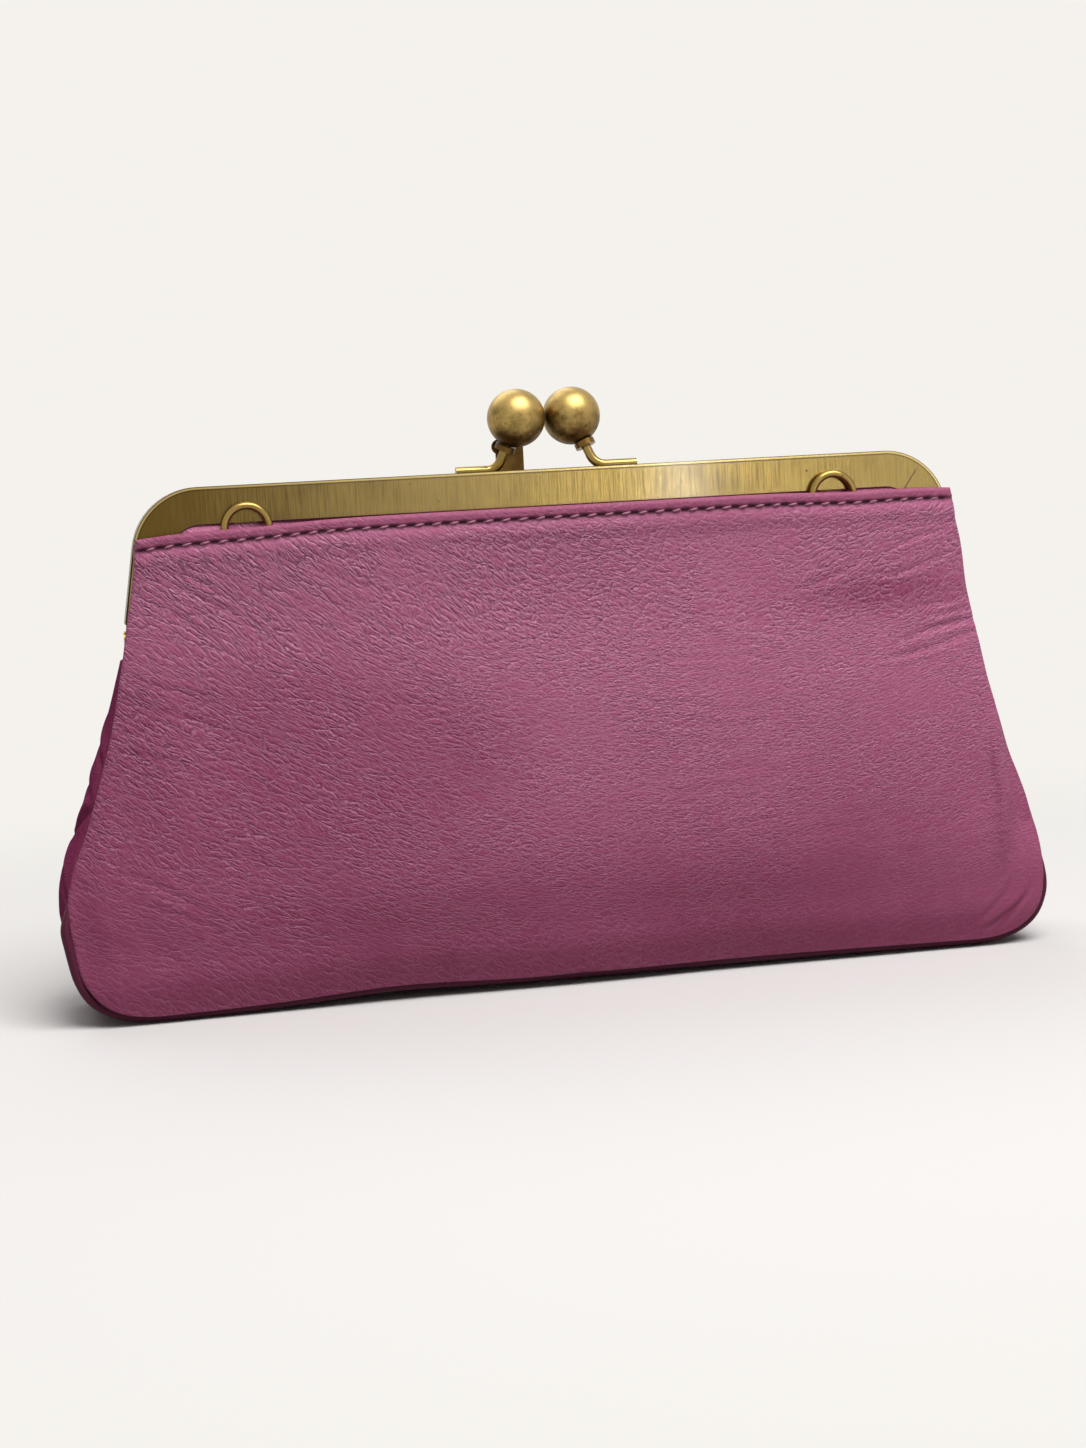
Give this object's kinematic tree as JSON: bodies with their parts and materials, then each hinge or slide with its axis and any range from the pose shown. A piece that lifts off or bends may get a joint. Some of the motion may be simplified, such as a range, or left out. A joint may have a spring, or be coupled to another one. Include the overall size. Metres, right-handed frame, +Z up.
{
  "type": "crossbody bag",
  "caption": "Leather clasp-frame crossbody bag: hinged brass frame halves with a ball clasp, strap rings, slip pocket, gusseted piped body and lining.",
  "frame": {"origin": "on the surface that the bag stands on, in the middle of the base, under the plane where the frame parts", "axes": "+X to the right across the bag seen from the front, -Y to the front, +Z up"},
  "size_m": [0.2498, 0.0419, 0.147],
  "materials": {
    "brass": "antique brass with a vertical brushed grain and a clear lacquer",
    "dark_brass": "dark aged brass",
    "leather": "soft pebbled and creased nappa leather, semi-matt",
    "piping_leather": "dark plum leather over cord",
    "lining": "plain woven cotton lining",
    "paper_cord": "twisted paper",
    "board": "grey-brown fibre board"
  },
  "bodies": {
    "bag_body": {"front_panel": "leather", "pocket_panel": "leather", "rear_panel": "leather", "side_gusset": "leather", "front_piping": "piping_leather", "rear_piping": "piping_leather", "front_lining": "lining", "rear_lining": "lining", "gusset_lining": "lining", "base_board": "board", "left_hinge_rivet": "dark_brass", "right_hinge_rivet": "dark_brass"},
    "front_frame": {"front_frame": "brass", "front_panel_upper": "leather", "pocket_upper": "leather", "front_lining_upper": "lining", "front_wedge_cord": "paper_cord", "front_clasp_rod": "brass", "front_ball_collar": "dark_brass", "front_clasp_ball": "brass", "left_ring_lug": "dark_brass", "right_ring_lug": "dark_brass"},
    "rear_frame": {"rear_frame": "brass", "rear_panel_upper": "leather", "rear_lining_upper": "lining", "rear_wedge_cord": "paper_cord", "rear_clasp_rod": "brass", "rear_ball_collar": "dark_brass", "rear_clasp_ball": "brass", "clasp_stop_plate": "dark_brass"},
    "left_ring": {"left_strap_ring": "brass"},
    "right_ring": {"right_strap_ring": "brass"}
  },
  "joints": [
    {"name": "front_open", "type": "hinge", "parent": "bag_body", "child": "front_frame", "pos_m": [0, 0, 0.091], "axis": [1, 0, 0], "range_deg": [0, 40], "deforming": ["front_panel_upper", "pocket_upper", "front_lining_upper"]},
    {"name": "rear_open", "type": "hinge", "parent": "bag_body", "child": "rear_frame", "pos_m": [0, 0, 0.091], "axis": [-1, 0, 0], "range_deg": [0, 40], "deforming": ["rear_panel_upper", "rear_lining_upper"]},
    {"name": "left_ring_swing", "type": "hinge", "parent": "front_frame", "child": "left_ring", "pos_m": [-0.0756, -0.0058, 0.11295], "axis": [1, 0, 0], "range_deg": [-2, 12]},
    {"name": "right_ring_swing", "type": "hinge", "parent": "front_frame", "child": "right_ring", "pos_m": [0.0724, -0.0058, 0.11295], "axis": [1, 0, 0], "range_deg": [-2, 12]}
  ]
}
